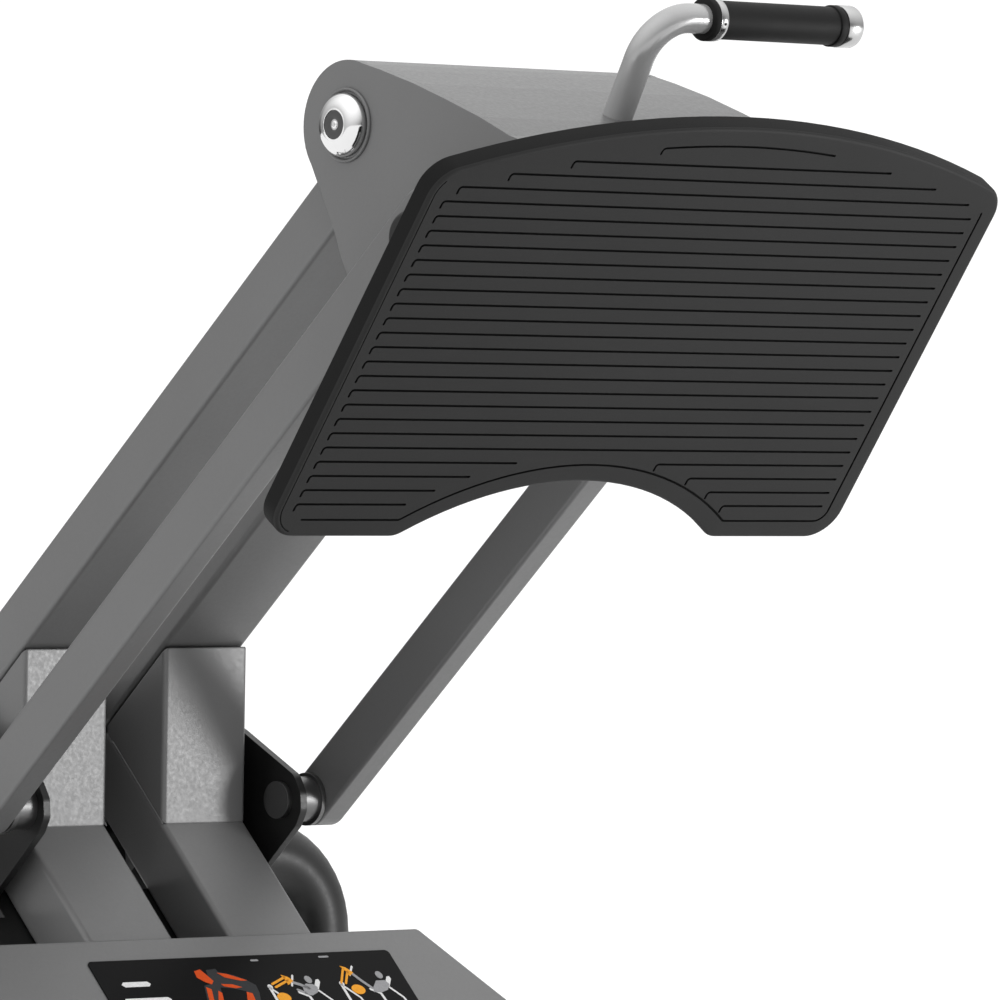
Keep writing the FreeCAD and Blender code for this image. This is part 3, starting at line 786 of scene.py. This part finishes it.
def turned(name, sections, material):
    """A turned piece on the grip's axis from (x, radius) sections, closed at both ends."""
    bm = lathe([(sections[0][0], 0.0)] + sections + [(sections[-1][0], 0.0)], GRIP, 1, 64)
    return make(name, bm, material, "carriage", angle=40)


start = sleeve_low.x
turned("grip_flange", [(start - 0.0105, 0.0160), (start - 0.0100, 0.0188), (start - 0.0085, 0.0198),
                       (start - 0.0045, 0.0198), (start - 0.0040, 0.0190)], M["rubber"])
turned("grip_band", [(start - 0.0041, 0.0180), (start - 0.0040, 0.0194), (start - 0.0034, 0.0198),
                     (start + 0.0036, 0.0198), (start + 0.0042, 0.0194), (start + 0.0043, 0.0174)],
       M["grip_band"])
SCREW_R, SCREW_TURN = 0.0014, math.radians(105)    # the band's screw, turned towards the seat
bm = bmesh.new()
bmesh.ops.create_cone(bm, cap_ends=True, segments=20, radius1=SCREW_R, radius2=SCREW_R, depth=0.001)
place = Matrix.Translation(GRIP + Vector((start, 0, 0))) @ Matrix.Rotation(SCREW_TURN, 4, "X")
bmesh.ops.transform(bm, matrix=place @ Matrix.Translation((0, 0, 0.0195)), verts=bm.verts)
make("grip_band_screw", bm, M["rubber"], "carriage")
last = end_low.x
turned("grip_lip", [(last - 0.0090, 0.0174), (last - 0.0086, 0.0186), (last - 0.0074, 0.0190),
                    (last - 0.0012, 0.0190), (last - 0.0004, 0.0184)], M["rubber"])
end = turned("grip_cap", [(last, 0.0178), (last + 0.0004, 0.0190), (last + 0.0012, 0.0194),
                          (last + 0.0160, 0.0194), (last + 0.0176, 0.0188), (last + 0.0186, 0.0176),
                          (last + 0.0190, 0.0150)], M["grip_band"])
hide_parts("grip_end")

# ---- floor, light, camera ------------------------------------------------------------------------------
VIEW_TURN = math.radians(-42)
bm = bmesh.new()
# the floor and the narrow wall it curves up into: (distance, height, half width)
lines = [(-40, 0, 30), (14, 0, 30), (15, 0.15, 3), (16, 0.6, 3), (16.8, 1.6, 3), (17, 3, 3), (17, 12, 3)]
rows = [[bm.verts.new((x, y, z)) for x in (-half, half)] for y, z, half in lines]
for a, b in zip(rows, rows[1:]):
    bm.faces.new((a[0], a[1], b[1], b[0]))
mesh = bpy.data.meshes.new("studio_floor")
bm.to_mesh(mesh)
bm.free()
floor = bpy.data.objects.new("studio_floor", mesh)
bpy.context.scene.collection.objects.link(floor)
n = Nodes("pale_floor")
mesh.materials.append(n.finish(grey(0.26), n.remap(n.noise(3.0), 0.3, 0.7, 0.75, 0.85),
                               Specular_IOR_Level=0.1, Emission_Color=(1.0, 1.0, 1.0, 1.0),
                               Emission_Strength=0.82))
floor.rotation_euler = (0, 0, VIEW_TURN)
floor.location = (0, 0, -0.0005)
smooth_over(floor)

world = bpy.data.worlds.new("studio")
bpy.context.scene.world = world
world.use_nodes = True
tree = world.node_tree
sky = tree.nodes["Background"]


def sky_math(op, a, b=0.0):
    node = tree.nodes.new("ShaderNodeMath")
    node.operation = op
    for i, value in enumerate((a, b)):
        if isinstance(value, bpy.types.NodeSocket):
            tree.links.new(value, node.inputs[i])
        else:
            node.inputs[i].default_value = value
    return node.outputs[0]


# Softboxes overhead and at both sides, written as a sky that is brighter where it faces them. The camera
# sees it white.
SKY_TOP, SKY_RIGHT, SKY_LEFT = 1.44, 0.41, 0.75
compass = tree.nodes.new("ShaderNodeSeparateXYZ")
tree.links.new(tree.nodes.new("ShaderNodeTexCoord").outputs["Generated"], compass.inputs[0])
east, _, high = compass.outputs
west = sky_math("MULTIPLY", east, -1.0)
total = sky_math("MULTIPLY", sky_math("MAXIMUM", high, 0.0), SKY_TOP)
total = sky_math("ADD", total, sky_math("MULTIPLY", sky_math("MAXIMUM", east, 0.0), SKY_RIGHT))
total = sky_math("ADD", total, sky_math("MULTIPLY", sky_math("MAXIMUM", west, 0.0), SKY_LEFT))
seen = tree.nodes.new("ShaderNodeLightPath").outputs["Is Camera Ray"]
tree.links.new(sky_math("MAXIMUM", total, seen), sky.inputs["Strength"])
sky.inputs["Color"].default_value = (1, 1, 1, 1)


def area(name, location, target, size, power):
    light = bpy.data.lights.new(name, "AREA")
    light.shape, light.size, light.size_y, light.energy = "RECTANGLE", size[0], size[1], power
    obj = bpy.data.objects.new(name, light)
    obj.location = location
    obj.rotation_euler = (Vector(target) - Vector(location)).to_track_quat("-Z", "Y").to_euler()
    bpy.context.scene.collection.objects.link(obj)


area("key", FRONT + Vector((2.49, -3.13, 0.0)), FRONT, (0.8, 0.8), 51)

cam = bpy.data.objects.new("camera", bpy.data.cameras.new("camera"))
bpy.context.scene.collection.objects.link(cam)
cam.data.sensor_width, cam.data.lens = 36.0, 319.28
cam.data.clip_start, cam.data.clip_end = 0.1, 100.0
cam.location = FRONT + Vector((-5.37954, -6.49806, 0.18277))
cam.rotation_euler = (math.radians(90.2907), 0, VIEW_TURN)
bpy.context.scene.camera = cam
bpy.context.scene.view_settings.view_transform = "Standard"
